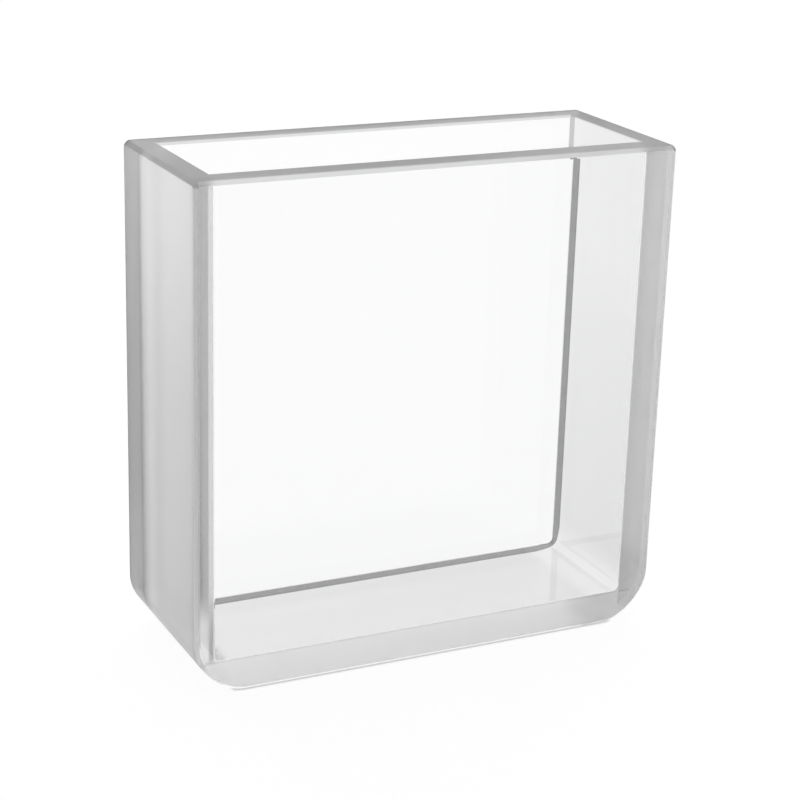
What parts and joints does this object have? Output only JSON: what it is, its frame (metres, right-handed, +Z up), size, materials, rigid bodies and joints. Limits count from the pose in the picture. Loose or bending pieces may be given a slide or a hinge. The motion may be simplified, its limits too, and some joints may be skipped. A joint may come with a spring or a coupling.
{
  "type": "cuvette",
  "caption": "Wide rectangular glass optical cell, open at the top, with polished windows on a ground U-shaped frame with rounded bottom corners.",
  "frame": {"origin": "centre of the base, on the surface that the cell stands on", "axes": "+Z up through the open top, +Y along the light path from the front window to the rear window, +X across the windows"},
  "size_m": [0.036, 0.014, 0.036],
  "materials": {
    "ground_glass": "fine ground outside, polished inside",
    "window_glass": "optically polished, with ground edges"
  },
  "bodies": {
    "root": {"frame": "ground_glass", "front_window": "window_glass", "rear_window": "window_glass"}
  },
  "joints": []
}
